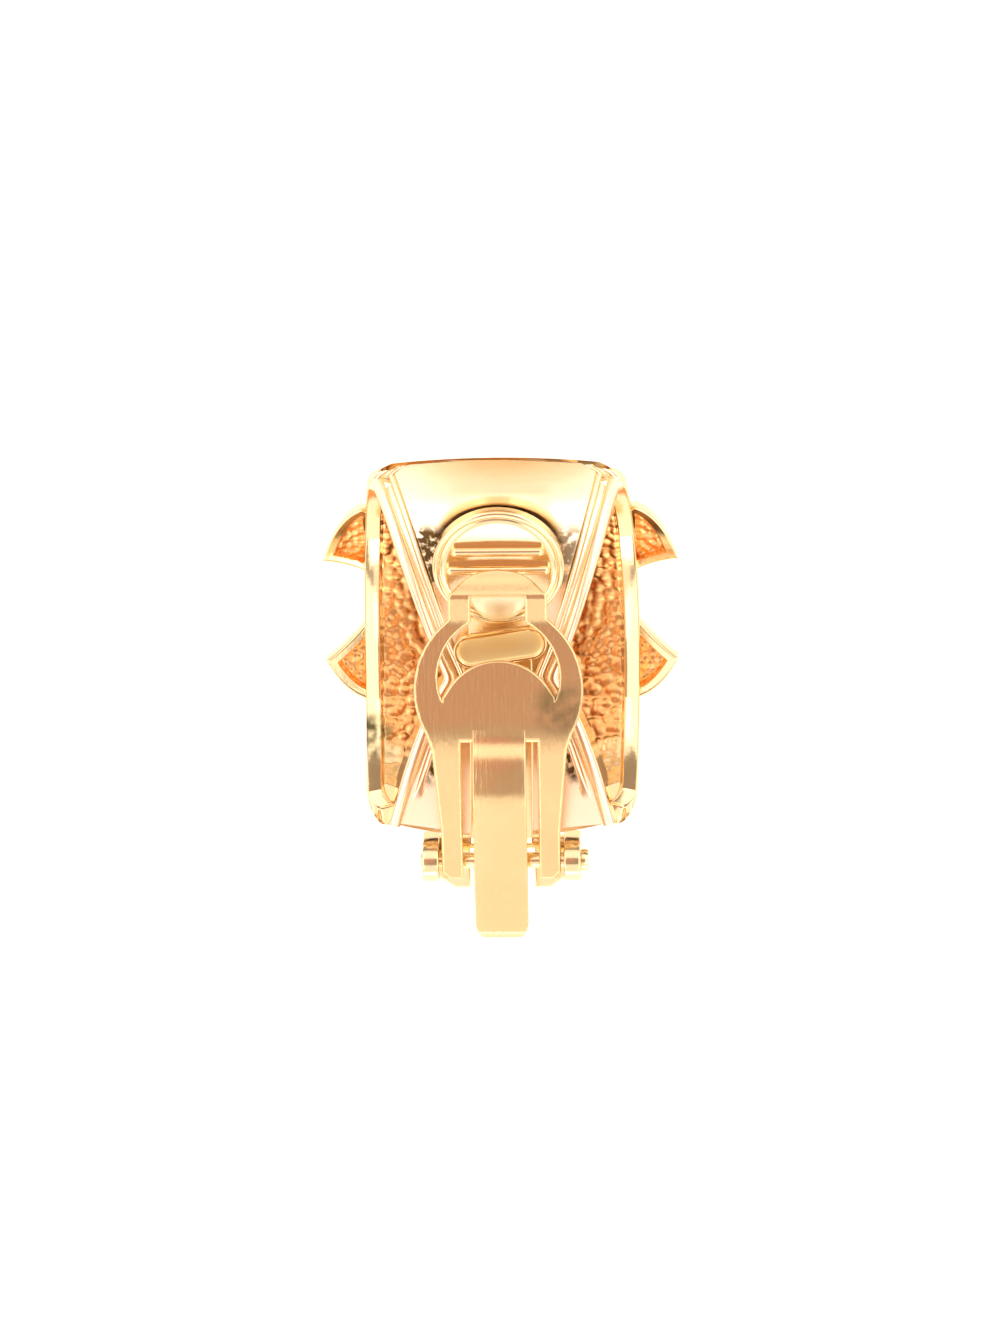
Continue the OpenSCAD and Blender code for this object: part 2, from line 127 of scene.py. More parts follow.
def bezier(a, c, b, steps=40):
    """Points of the curve (1-s)^2 a + 2 s (1-s) c + s^2 b for s from 0 to 1."""
    s = np.linspace(0, 1, steps)[:, None]
    return (1 - s) ** 2 * np.array(a) + 2 * s * (1 - s) * np.array(c) + s**2 * np.array(b)


# %% [markdown]
# The casting's inside and the backs of its arms are pebbled, as if pressed with small beads. Each
# bead is a cell of a jittered grid: a point's height falls off as a dome from the nearest bead
# centre. Working it into the mesh, and not only into the shading, lets every bead catch its own
# light at the windows.

# %% Pebbled relief
BEAD_PITCH = 0.66


def pebbles(u, v, pitch=BEAD_PITCH, seed=7):
    """Dome height from the nearest bead: 1 - (distance / radius)^2, more if the bead is large."""
    rng = np.random.default_rng(seed)
    cells = 96
    jitter = rng.uniform(0.12, 0.88, (cells, cells, 2))
    radius = rng.uniform(0.52, 0.78, (cells, cells))
    cu, cv = np.floor(u / pitch).astype(int), np.floor(v / pitch).astype(int)
    best = np.zeros_like(u)
    for du in (-1, 0, 1):
        for dv in (-1, 0, 1):
            a, b = (cu + du) % cells, (cv + dv) % cells
            x = (cu + du + jitter[a, b, 0]) * pitch - u
            y = (cv + dv + jitter[a, b, 1]) * pitch - v
            dome = 1 - (x * x + y * y) / (radius[a, b] * pitch) ** 2
            best = np.maximum(best, np.maximum(dome, 0) * (0.75 + 0.4 * radius[a, b]))
    return best


def smooth_step(x):
    """3x^2 - 2x^3 between 0 and 1."""
    x = np.clip(x, 0, 1)
    return x * x * (3 - 2 * x)


across = np.linspace(0, 10, 200)
print("pebbles: mean dome height", pebbles(*np.meshgrid(across, across)).mean().round(3))

# %% [markdown]
# The front is a half hoop: a wall 1 mm thick, domed a little from side to side, swept through 142
# degrees. A polished border 1 mm wide stands along both sides of its hollow, and between the
# borders the wall is pebbled. Each section is one closed line, so the sweep gives a solid. Seen
# from the side, the borders' tops lie on a circle of their own, a little nearer to the ear.

# %% Front shell
SHELL_R = 13.1
DOME = 0.8
WALL = 1.0
HALF_ARC = np.radians(71.0)
HALF_W = 8.6
END_Y = SHELL_R * np.sin(HALF_ARC)
CORNER_R = 1.3
BORDER_W = 1.0
BORDER_FALL = 0.3
RIM_R, RIM_SHIFT = 14.1, 3.3
SHELL_EASE = 0.28
PEBBLE_H = 0.12
SIDE = bezier([HALF_W, -END_Y], [9.3, 3.0], [7.95, END_Y])
STRAP_R = 20.0
STRAP_T = 0.9
STRAP_CENTRE = -4.3 + np.sqrt(STRAP_R**2 - 11.9**2)


def body_half_width(y):
    """Half width of the body seen from the back: the side's curve less its rounded corners."""
    side = np.interp(y, SIDE[:, 1], SIDE[:, 0])
    over = np.clip((np.abs(y) - (END_Y - CORNER_R)) / CORNER_R, 0, 1)
    return side - CORNER_R + CORNER_R * np.sqrt(1 - 0.97 * over**2)


def dome_radius(x):
    """Outer radius of the shell across it: highest on the middle line, by a parabola."""
    return SHELL_R - DOME * (x / HALF_W) ** 2


def strap_z(y, up=0.0):
    """Height of the strap's hollow face along it, the lower side of a circle."""
    return STRAP_CENTRE - np.sqrt((STRAP_R - up) ** 2 - y**2)


def shell_grid():
    """Sections in (x, radius), turned round the arc: outer face, edge, border, hollow, and back.

    The borders' circle is sqrt((m cos a)^2 + R^2 - m^2) - m cos a from the arc's centre. Near both
    ends the form is cut off by a limit a little below the strap, and only its borders rise above.
    """
    angle = np.linspace(-HALF_ARC, HALF_ARC, 310)[:, None]
    half = body_half_width(SHELL_R * np.sin(angle))
    edge_r = dome_radius(half)
    out = half * np.sin(np.linspace(-1, 1, 61) * np.pi / 2)[None, :]
    over = np.clip((np.abs(out) - half + SHELL_EASE) / SHELL_EASE, 0, 1)
    outer = dome_radius(out) - SHELL_EASE * (1 - np.sqrt(1 - over**2))
    in_e = np.array([0, 0.02, 0.06, 0.12, 0.2, 0.35, 0.6, 0.8, 0.88, 0.94, 0.98,
                     1.0, 1.03, 1.08, 1.14])
    side_x = half - in_e[None, :]
    middle = (half - 1.2) * np.linspace(1, -1, 146)[None, :]
    x = np.concatenate([side_x, middle, -side_x[:, ::-1]], 1)
    inset = half - np.abs(x)
    shift = RIM_SHIFT * np.cos(angle)
    circle = np.sqrt(shift**2 + RIM_R**2 - RIM_SHIFT**2) - shift
    floor_r = dome_radius(x) - WALL
    lift = np.maximum(edge_r - WALL - circle, 0.16)
    rounded = 0.12 * (1 - np.sqrt(1 - np.clip(1 - inset / 0.12, 0, 1) ** 2))
    fall = BORDER_FALL * np.clip(1 - inset / BORDER_W, 0, 1) ** 1.5
    top_r = edge_r - WALL - lift + rounded + fall
    blend = smooth_step((inset - BORDER_W + 0.04) / 0.16)
    arc = angle * (SHELL_R - WALL)
    polished = smooth_step((-arc - 8.2) / 1.4) * smooth_step((3.0 - inset) / 1.2)
    relief = smooth_step((inset - BORDER_W - 0.1) / 0.15) * (1 - 0.85 * polished)
    bumps = pebbles(x + 20, arc + 40 + 0 * x) * relief
    radius = top_r * (1 - blend) + floor_r * blend - PEBBLE_H * bumps
    x_all = np.concatenate([out, x], 1)
    r_all = np.concatenate([outer, radius], 1)
    y_all, z_all = r_all * np.sin(angle), -r_all * np.cos(angle)
    crown = np.concatenate([smooth_step((np.abs(out) - half + 0.5) / 0.3), 1 - blend], 1)
    crest = 0.78 - np.concatenate([0 * out, fall], 1)
    last_row = 0.38
    fade = smooth_step((HALF_ARC - np.abs(angle)) / 0.03)
    limit = strap_z(y_all) - 0.45 + crown * (last_row + (crest - last_row) * fade)
    z_all = np.where(np.abs(y_all) > 7, np.minimum(z_all, limit), z_all)
    points = np.stack([x_all, y_all, z_all], -1)
    return points, np.concatenate([np.zeros_like(out), relief], 1)


shell_points, shell_relief = shell_grid()
cast_shell = make_piece("cast_shell", [(shell_points, True, True)], values=[shell_relief],
                        sharp=60)
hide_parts("cast_body")

# %% [markdown]
# The back is closed by a strap in the shape of an hourglass, hollow like the inside of a bowl.
# Both of its edges carry a rounded rim, a groove and a thinner bead. Each row of the grid is one
# cross section, so the rims follow the waist by themselves.

# %% Back strap
WAIST_Y = -3.2
WAIST_HALF = 3.7
TOP_HALF = 7.85
FOOT_HALF = 7.15
WAIST_POWER = 0.34
WAIST_ROUND = 0.03
EDGE_RIM = (0, 0.85, 0.45)
EDGE_GROOVE = (0.83, 0.32, 0.05)
EDGE_BEAD = (1.13, 0.45, 0.25)
FACE_GAP, BACK_GAP = 0.05, 0.12


def strap_half_width(y):
    """Half width of the strap: a rounded waist that opens as a power of the distance from it."""

    def opening(s):
        low = WAIST_ROUND ** (2 * WAIST_POWER)
        top = (1 + WAIST_ROUND**2) ** WAIST_POWER - low
        return ((s * s + WAIST_ROUND**2) ** WAIST_POWER - low) / top

    above = (TOP_HALF - WAIST_HALF) * opening((y - WAIST_Y) / (12 - WAIST_Y))
    below = (FOOT_HALF - WAIST_HALF) * opening((WAIST_Y - y) / (12 + WAIST_Y))
    return WAIST_HALF + np.where(y > WAIST_Y, above, below)


def strap_end(x, shell_gap, thickness):
    """Place along the strap where its face meets the shell's outer form at a place across it."""
    reach = dome_radius(x) - shell_gap
    q = (STRAP_CENTRE**2 + (STRAP_R + thickness) ** 2 - reach**2) / (2 * STRAP_CENTRE)
    return np.minimum(np.sqrt(np.maximum((STRAP_R + thickness) ** 2 - q**2, 0)), END_Y - 0.02)


def arch(e, start, width, height):
    """Half an ellipse over a strip of the edge, and 0 outside the strip."""
    s = (e - start - width / 2) / (width / 2)
    return height * np.sqrt(np.clip(1 - s * s, 0, 1))


def strap_grid():
    """Rows of closed sections along the strap: rim, groove, bead, plain middle and back face.

    Beside it comes a share of painted dark reflection, in brown specks along the beads: beside the
    ear pad, more on the left, and again near the lower end.
    """
    v = np.linspace(-1, 1, 190)
    v = (0.75 * v + 0.25 * np.sin(v * np.pi / 2))[:, None]
    edge_e = np.array([0, 0.02, 0.06, 0.12, 0.2, 0.3, 0.42, 0.55, 0.65, 0.73, 0.79, 0.83, 0.85,
                       0.92, 1.0, 1.08, 1.13, 1.15, 1.19, 1.26, 1.35, 1.44, 1.51, 1.55, 1.58,
                       1.66, 1.8])
    y_mid = v * (END_Y - 0.02)
    half = np.minimum(strap_half_width(y_mid), body_half_width(y_mid) - 0.02)
    middle = (half - 1.8) * np.linspace(1, -1, 17)[None, 1:-1]
    x = np.concatenate([half - edge_e[None, :], middle, -(half - edge_e[None, ::-1])], 1)
    y = v * strap_end(x, FACE_GAP, 0.0)
    e = half - np.abs(x)
    thin = smooth_step((y + 10.6) / 2)
    height = arch(e, *EDGE_RIM) + thin * (arch(e, *EDGE_BEAD) - arch(e, *EDGE_GROOVE))
    face = np.stack([x, y, strap_z(y, height)], -1)
    back_x = x[:, ::-4]
    back_y = v * strap_end(back_x, BACK_GAP, STRAP_T)
    back = np.stack([back_x, back_y, strap_z(back_y, -STRAP_T)], -1)
    # Painted dark reflection: brown specks beside the beads, near the ear pad and near the lower
    # end.
    beside = smooth_step((e - 1.5) / 0.2) * smooth_step((3.7 - e) / 1.0)
    upper = smooth_step((y - 2.6) / 0.8) * smooth_step((7.8 - y) / 1.5)
    lower = smooth_step((y + 10.0) / 1.5) * smooth_step((-5.0 - y) / 0.8)
    lower = lower * smooth_step((2.3 - e) / 0.5)
    painted_specks = beside * (upper * np.where(x < 0, 1.4, 0.8) + 1.8 * lower)
    return np.concatenate([face, back], 1), np.concatenate([painted_specks, 0 * back_x], 1)


strap_points, strap_painted_specks = strap_grid()
back_strap = make_piece("back_strap", [(strap_points, True, True)], values=[strap_painted_specks],
                        sharp=60)

# %% [markdown]
# A raised cross lies on the front, and its four points stand clear of the sides as arms. Their
# backs are sunk and pebbled inside a polished border. A quarter of the cross is made in slices
# across x, each a closed line. Where two quarters meet, their side walls are left out, so that
# the four copies merge into one solid.

# %% Front cross and arms
CROSS_Y = 1.25
CROSS_R = 13.7
CROSS_DROP = 1.6
TIP_X = 11.3
ARM_T = 1.3
ARM_BORDER = 0.55
ARM_RECESS = 0.5
ARM_EASE = 0.22
ARM_PEBBLE_H = 0.11
OUTER_X = 8.4


def arm_edges(up):
    """The outer and the inner edge of one quarter as two lists of points, in rising x."""
    tip = [TIP_X, up * 3.4 - 0.7]
    root_out, root_in = [HALF_W, up * 6.7], [HALF_W, up * 1.66]
    outer = np.concatenate([
        bezier([0, up * 2.85], [4.3, up * 2.85], root_out),
        bezier(root_out, [10.25, up * 6.15], tip)[1:],
    ])
    inner = np.concatenate([
        [[0, 0]],
        bezier([5.2, 0], [5.7, up * 0.9], root_in),
        bezier(root_in, [9.75, up * 2.7 - 0.35], tip)[1:],
    ])
    return outer, inner


def line_distance(points, line):
    """Smallest distance from each point to a line of short straight pieces."""
    a, d = line[:-1], np.diff(line, axis=0)
    gap = points[..., None, :] - a
    s = np.clip((gap * d).sum(-1) / (d * d).sum(-1), 0, 1)
    return np.sqrt(((gap - s[..., None] * d) ** 2).sum(-1)).min(-1)


def arm_quarter(up, side):
    """Slices across x between the two edges: domed face, rounded edge, sunk back, rounded edge."""
    outer, inner = arm_edges(up)
    near = np.linspace(0, OUTER_X, 43)
    far = OUTER_X + (TIP_X - 0.015 - OUTER_X) * np.sin(np.linspace(0, 1, 70)[1:] * np.pi / 2)
    x = np.concatenate([near, far])[:, None]
    low = np.interp(x, inner[:, 0], inner[:, 1])
    high = np.interp(x, outer[:, 0], outer[:, 1])
    span = high - low
    soft = np.minimum(ARM_EASE, 0.4 * np.abs(span))
    turn = np.radians([0, 18, 36, 54, 72, 90])[None, :]
    keep = smooth_step((x - 5.2) / 0.8)
    in_soft = soft * keep * np.sign(span)
    out_soft = soft * np.sign(span)
    s = np.linspace(0, 1, 22)[None, :]
    s_back = np.linspace(1, 0, 64)[None, :]
    y_face = low + in_soft + (span - in_soft - out_soft) * s
    y_back = low + in_soft + (span - in_soft - out_soft) * s_back
    y = np.concatenate([
        y_face,
        high - out_soft * (1 - np.sin(turn)),
        high - out_soft * (1 - np.sin(turn[:, ::-1])),
        y_back,
        low + in_soft * (1 - np.sin(turn)),
        low + in_soft * (1 - np.sin(turn[:, ::-1])),
    ], 1)
    corner = soft * (1 - np.cos(turn))
    deep = np.concatenate([
        0 * y_face,
        corner,
        ARM_T - corner[:, ::-1],
        ARM_T + 0 * y_back,
        ARM_T - keep * corner,
        keep * corner[:, ::-1],
    ], 1)
    x_all = x + 0 * y
    plan = np.stack([x_all, y], -1)
    outline = np.concatenate([inner[1:], outer[-2::-1]])
    inset = line_distance(plan, outline)
    back = np.zeros_like(y)
    first = s.size + 2 * turn.size
    back[:, first:first + s_back.size] = 1.0
    sunk = back * smooth_step((inset - ARM_BORDER) / 0.14) * smooth_step((x_all - 8.62) / 0.1)
    bumps = sunk * pebbles(x_all * side + 30, y + 25, pitch=0.5, seed=11)
    deep = deep - ARM_RECESS * sunk - ARM_PEBBLE_H * bumps
    radius = CROSS_R - CROSS_DROP * (x_all / TIP_X) ** 2 - deep
    y_abs = y + CROSS_Y
    points = np.stack([side * x_all, y_abs, -np.sqrt(radius**2 - y_abs**2)], -1)
    return points, sunk


def drop_inner_walls(piece):
    """Takes out the faces that lie in the two planes where quarters meet, and merges the rest."""
    corners = np.empty(len(piece.data.vertices) * 3)
    piece.data.vertices.foreach_get("co", corners)
    x, y, z = corners.reshape(-1, 3).T * 1000
    local_y = (y - CENTRE_SHIFT) * np.cos(LEAN) + (z - LIFT) * np.sin(LEAN) - CROSS_Y
    on_x, on_y = np.abs(x) < 1e-4, np.abs(local_y) < 2e-4
    shape = bmesh.new()
    shape.from_mesh(piece.data)
    inside = [f for f in shape.faces
              if on_x[[v.index for v in f.verts]].all() or on_y[[v.index for v in f.verts]].all()]
    bmesh.ops.delete(shape, geom=inside, context="FACES")
    bmesh.ops.remove_doubles(shape, verts=shape.verts, dist=MERGE)
    bmesh.ops.recalc_face_normals(shape, faces=shape.faces)
    shape.to_mesh(piece.data)
    shape.free()


arms = [arm_quarter(up, side) for up in (1, -1) for side in (1, -1)]
front_cross = make_piece("front_cross", [(p, True, True) for p, _ in arms],
                         values=[m for _, m in arms], sharp=50)
drop_inner_walls(front_cross)
front_cross.data.shade_smooth()
front_cross.data.set_sharp_from_angle(angle=np.radians(50))
print("front_cross closed:", len(front_cross.data.polygons), "faces")

# %% [markdown]
# Every part of the clip is turned, stamped or cut. A turned part is a profile spun round an axis:
# the ear pad with its rounded rim, the domed rivet and the hinge pin.

# %% Turned parts
SEAT_GAP = 0.02
STEM_T = 0.6
PAD_Y = 4.85
PAD_R = 4.15
PAD_T = 0.8
PAD_SINK = 0.1
RIVET_Y = -1.95


def on_pad(points):
    """Pad coordinates (x across, y along, z out of its face) to the local frame."""
    p = np.asarray(points, float)
    tilt = np.arcsin(PAD_Y / STRAP_R)
    c, s = np.cos(tilt), np.sin(tilt)
    z = p[..., 2] + STEM_T + SEAT_GAP - PAD_SINK + PAD_T
    return np.stack([p[..., 0], p[..., 1] * c - z * s + PAD_Y,
                     p[..., 1] * s + z * c + strap_z(PAD_Y)], -1)


def spun(profile, steps=96):
    """A profile of (radius, height) pairs turned once about z: (r cos a, r sin a, h)."""
    r, h = np.asarray(profile, float).T
    a = np.arange(steps) * 2 * np.pi / steps
    return np.stack([r[:, None] * np.cos(a), r[:, None] * np.sin(a), h[:, None] + 0 * a], -1)


def arc_points(centre, radius, start, end, steps=9):
    """Points of a circle's arc between two angles in degrees."""
    a = np.radians(np.linspace(start, end, steps))
    return np.stack([centre[0] + radius * np.cos(a), centre[1] + radius * np.sin(a)], -1)


inward = np.linspace(1, 0, 14)
pad_profile = np.concatenate([
    [[0.0, -PAD_T], [PAD_R - 0.3, -PAD_T]],
    arc_points([PAD_R - 0.15, -PAD_T + 0.15], 0.15, -90, 0, 5),
    arc_points([PAD_R - 0.26, -0.26], 0.26, 0, 90, 9),
    arc_points([PAD_R - 0.26, -0.26], 0.26, 100, 150, 6),
    [[PAD_R - 0.54, -0.12], [PAD_R - 0.58, -0.09]],
    np.stack([inward * (PAD_R - 0.62), -0.06 - 0.16 * (1 - inward**2)], -1),
])
pad = on_pad(spun(pad_profile))
print("pad profile:", len(pad_profile), "points")

# %% [markdown]
# The two grip bars and the plaque's frame have the outline of a running track: two straight sides
# and two half circles. Drawing that outline at several insets and heights gives their raised forms.

# %% Grip bars and rivet
BAR_W, BAR_H = 0.62, 0.45
RIVET_R, RIVET_DOME, RIVET_EDGE = 1.75, 0.6, 0.12


def track(length, width, profile, steps=24):
    """Track outline drawn in by each inset of the profile, at that profile point's height."""
    inset, height = np.asarray(profile, float).T
    a = np.concatenate([np.linspace(-90, 90, steps), np.linspace(90, 270, steps)])
    straight = (length - width) / 2 * np.repeat([1, -1], steps)
    a = np.radians(a)
    r = (width / 2 - inset)[:, None]
    return np.stack([straight + r * np.cos(a), r * np.sin(a), height[:, None] + 0 * a], -1)


def soft_top(width, height, foot):
    """Profile (inset, height) of a bar with an elliptic top: up the side and over to the middle."""
    a = np.radians(np.linspace(0, 90, 12))
    top = np.stack([width / 2 * (1 - np.cos(a)), height * 0.35 + height * 0.65 * np.sin(a)], -1)
    return np.concatenate([[[width / 2, foot], [0, foot]], top])


bar_profile = soft_top(BAR_W, BAR_H, -0.3)
bars = [on_pad(track(length, BAR_W, bar_profile) + [0, y, 0])
        for length, y in ((5.8, 1.38), (6.5, 0.03))]
ear_pad = make_piece("ear_pad", [(pad, True, False)] + [(b, True, False) for b in bars],
                     sharp=50)
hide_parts("clip_base")

a = np.radians(np.linspace(90, 0, 22))
rivet_profile = np.concatenate([
    np.stack([RIVET_R * np.cos(a), RIVET_EDGE + RIVET_DOME * np.sin(a)], -1),
    [[RIVET_R, 0.02], [0.8, 0.02], [0.8, -2.5], [0.0, -2.5]],
])
rivet = on_pad(spun(rivet_profile) + [0, RIVET_Y, 0])
base_rivet = make_piece("base_rivet_dome", [(rivet, True, False)])
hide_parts("base_rivet")

# %% [markdown]
# The stem is a flat strip that follows the strap, steps over its lower end and goes down into the
# hinge. A strip is a rounded rectangle carried along a bent line, set square to it at each point.

# %% Stem
STEM_HALF = 2.0
STEM_END = -12.3
FLOOR_TOP = -4.5


def strip(path, half_width, thickness, soft=0.1, narrow=None):
    """A rounded rectangle carried along a path in (y, z) that runs towards the tail.

    The path is the strip's upper face. Its normal is the path's direction turned by a quarter.
    narrow holds what is taken off the half width at each point.
    """
    path = np.asarray(path, float)
    along = np.gradient(path, axis=0)
    along /= np.linalg.norm(along, axis=1)[:, None]
    a = np.radians(np.linspace(0, 90, 5))
    a = np.concatenate([a, a[::-1]])
    side = half_width - soft * (1 - np.sin(a))
    depth = soft * (1 - np.cos(a))
    depth = np.concatenate([depth[:5], thickness - depth[5:]])
    taper = 1 if narrow is None else 1 - narrow[:, None] / half_width
    x = np.concatenate([side, -side[::-1]])[None, :] * taper + 0 * path[:, :1]
    d = np.concatenate([depth, depth[::-1]])[None, :]
    y = path[:, 0:1] - along[:, 1:2] * d
    z = path[:, 1:2] + along[:, 0:1] * d
    return np.stack([x, y, z], -1)


def smooth_path(corners, radii, steps=8):
    """A line through corners, each corner replaced by a short curve of about its radius."""
    corners = np.asarray(corners, float)
    radii = np.broadcast_to(radii, (len(corners) - 2,))
    out = [corners[:1]]
    for before, at, after, radius in zip(corners[:-2], corners[1:-1], corners[2:], radii):
        a = at + (before - at) * min(radius / np.linalg.norm(before - at), 0.5)
        b = at + (after - at) * min(radius / np.linalg.norm(after - at), 0.5)
        out.append(bezier(a, at, b, steps))
    out.append(corners[-1:])
    return np.concatenate(out)


stem_y = np.linspace(6.0, STEM_END, 60)
stem_path = np.stack([stem_y, strap_z(stem_y, SEAT_GAP + STEM_T)], -1)
foot = strap_z(STEM_END, SEAT_GAP)
foot_top = smooth_path([stem_path[-1], [-12.95, foot + STEM_T], [-13.2, FLOOR_TOP - 0.3]], 0.3)
stem_line = np.concatenate([stem_path[:-1], foot_top])
stem_grid = strip(stem_line, STEM_HALF, STEM_T)
print("stem:", np.hypot(*np.diff(stem_line, axis=0).T).sum().round(1), "mm long")

# %% [markdown]
# The plaque is a bare track with a raised frame, soldered a little askew on the stem. The hinge
# bracket is cut sheet: a floor with a notch between its two feet, and two ears that hold the pin.
# Any flat outline becomes a plate when it is repeated at several heights, a little smaller near
# the top and the bottom, where the edges are eased.

# %% Plaque, hinge bracket and pin
HINGE = np.array([-13.8, -3.2])
EAR_R = 1.3
PLAQUE_Y, PLAQUE_TURN, PLAQUE_SINK = -1.0, 8.0, 0.05
PLAQUE_LIGHTENING_SHARE = 2.0
plaque_profile = [[0.12, -0.1], [0.0, 0.0], [0.0, 0.22], [0.03, 0.33], [0.1, 0.4], [0.2, 0.4],
                  [0.27, 0.36], [0.32, 0.26], [0.4, 0.22], [1.1, 0.22]]
FRAME_POINTS = 7


def on_stem(points, y, turn):
    """Coordinates on the stem at a place along it, turned askew by an angle in degrees."""
    t = np.radians(turn)
    px = points[..., 0] * np.cos(t) - points[..., 1] * np.sin(t)
    py = points[..., 0] * np.sin(t) + points[..., 1] * np.cos(t)
    tilt = np.arcsin(y / STRAP_R)
    c, s = np.cos(tilt), np.sin(tilt)
    top = strap_z(y, SEAT_GAP + STEM_T) - PLAQUE_SINK
    return np.stack([px, py * c - points[..., 2] * s + y, py * s + points[..., 2] * c + top], -1)


plaque = on_stem(track(6.0, 2.2, plaque_profile), PLAQUE_Y, PLAQUE_TURN)


def drawn_in(outline, inset):
    """An outline that runs left round its inside, moved inwards along its mitred normals."""
    step = np.roll(outline, -1, axis=0) - outline
    normal = np.stack([-step[:, 1], step[:, 0]], -1) / np.linalg.norm(step, axis=1)[:, None]
    before = np.roll(normal, 1, axis=0)
    mitre = (normal + before) / (1 + (normal * before).sum(-1, keepdims=True))
    return outline + inset * mitre


def plate_between(outline, low, high, axis, soft=0.12):
    """A flat outline given thickness along an axis, with its edges rounded by a quarter circle."""
    outline = np.asarray(outline, float)
    a = np.radians(np.linspace(0, 90, 4))
    inset = soft * (1 - np.sin(a))
    rise = soft * (1 - np.cos(a))
    insets = np.concatenate([inset, inset[::-1]])
    levels = np.concatenate([low + rise, high - rise[::-1]])
    ring = np.stack([drawn_in(outline, d) for d in insets])
    height = levels[:, None] + 0 * ring[..., 0]
    if axis == "x":
        return np.stack([height, ring[..., 0], ring[..., 1]], -1)
    return np.stack([ring[..., 0], ring[..., 1], height], -1)


ear_foot = FLOOR_TOP - 0.57
ear_outline = np.concatenate([
    arc_points(HINGE, EAR_R, 0, 180, 25),
    [[HINGE[0] - EAR_R, ear_foot], [HINGE[0] + EAR_R, ear_foot]],
])
ears = [plate_between(ear_outline, *ends, "x") for ends in ((3.95, 5.0), (-5.0, -3.95))]
floor_outline = [[4.97, -12.75], [-4.97, -12.75], [-4.97, -14.8], [-3.05, -16.2], [-2.05, -16.2],
                 [-2.05, -13.5], [2.05, -13.5], [2.05, -16.2], [3.05, -16.2], [4.97, -14.8]]
bracket_floor = plate_between(floor_outline, FLOOR_TOP - STEM_T, FLOOR_TOP, "z")
stem_parts = [stem_grid, plaque, *ears, bracket_floor]
stem_marks = [np.zeros(grid.shape[:2]) for grid in stem_parts]
# The plaque's floor is marked for a paler tint: painted light on a floor that lies in shade.
stem_marks[1][FRAME_POINTS:] = PLAQUE_LIGHTENING_SHARE
clip_stem = make_piece("clip_stem", [(grid, True, True) for grid in stem_parts],
                       values=stem_marks, sharp=45)

pin_profile = [[0.0, -5.15], [0.35, -5.15], [0.46, -5.1], [0.5, -5.0], [0.5, 5.02], [0.66, 5.02],
               [0.72, 5.08], [0.72, 5.38], [0.66, 5.48], [0.5, 5.52], [0.0, 5.52]]
pin_z, pin_y, pin_x = np.moveaxis(spun(pin_profile, 48), -1, 0)
pin_points = np.stack([pin_x, HINGE[0] + pin_y, HINGE[1] + pin_z], -1)
hinge_pin = make_piece("hinge_pin_rod", [(pin_points, True, False)])
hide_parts("hinge_pin")

# %% [markdown]
# The paddle is stamped from one sheet and then bent: a round plate with a crescent hole, two legs,
# a folded head with a curved lip, and a spring tongue between the legs. Seen from the back, each
# of its bands lies between two lines that are functions of y. The bands are drawn flat, as grids
# that share their border points.

# %% Paddle outline
SHEET = 0.5
RING_Y, RING_R = -2.3, 5.3
HOLE_Y, HOLE_R = -1.55, 3.8
ISLAND_Y, ISLAND_R = -4.25, 3.77
BEND_Y = -5.5
HEAD_HALF, NECK_HALF, HEAD_START = 3.1, 1.7, 3.45
FOLD_Y = 3.65
LIP_Y, LIP_R, LIP_DEPTH = 1.05, 4.0, 1.4
SHOULDER_Y = RING_Y - 2.5
LEG_END = -14.65
SLOT_IN, SLOT_OUT = 1.68, 2.4


def round_side(y, centre, radius):
    """Half width of a circle at y."""
    return np.sqrt(np.maximum(radius**2 - (y - centre) ** 2, 0))


def paddle_outer(y):
    """Outer half width of the paddle: lip arc, head, round plate, then legs that taper."""
    lip = np.minimum(HEAD_HALF, round_side(y, LIP_Y, LIP_R))
    head = np.where(y > 0, HEAD_HALF, 0)
    plate = round_side(y, RING_Y, RING_R)
    legs = np.interp(y, [LEG_END, LEG_END + 0.5, -11.4, BEND_Y - 0.5, SHOULDER_Y],
                     [3.25, 3.75, 3.75, 4.25, 4.65])
    legs = np.where(y < SHOULDER_Y, legs, 0)
    body = np.maximum(np.maximum(head, plate), legs)
    return np.where(y > FOLD_Y, lip, body)


def hole_edge(y):
    """Outer edge of the hole: the large circle, and above it the neck of the head."""
    return np.maximum(round_side(y, HOLE_Y, HOLE_R), np.where(y > 0, NECK_HALF, 0))


def band(y, left, right, spacing):
    """A flat band between two lines x = left(y) and x = right(y), as a grid."""
    left = np.broadcast_to(left, y.shape)[:, None]
    right = np.broadcast_to(right, y.shape)[:, None]
    return np.stack([left + (right - left) * spacing, y[:, None] + 0 * spacing], -1)


BOTH_EDGES = (1 - np.cos(np.linspace(0, np.pi, 14)))[None, :] / 2
ONE_EDGE = np.sin(np.linspace(0, np.pi / 2, 16))[None, :]
EVEN = np.linspace(0, 1, 9)[None, :]
HORN = np.array([3.56, -2.85])


def to_horn(y, line):
    """Draws a line in to the end of the crescent's horn over the last half millimetre."""
    share = smooth_step((-2.3 - y) / 0.55) ** 2
    return line * (1 - share) + HORN[0] * share


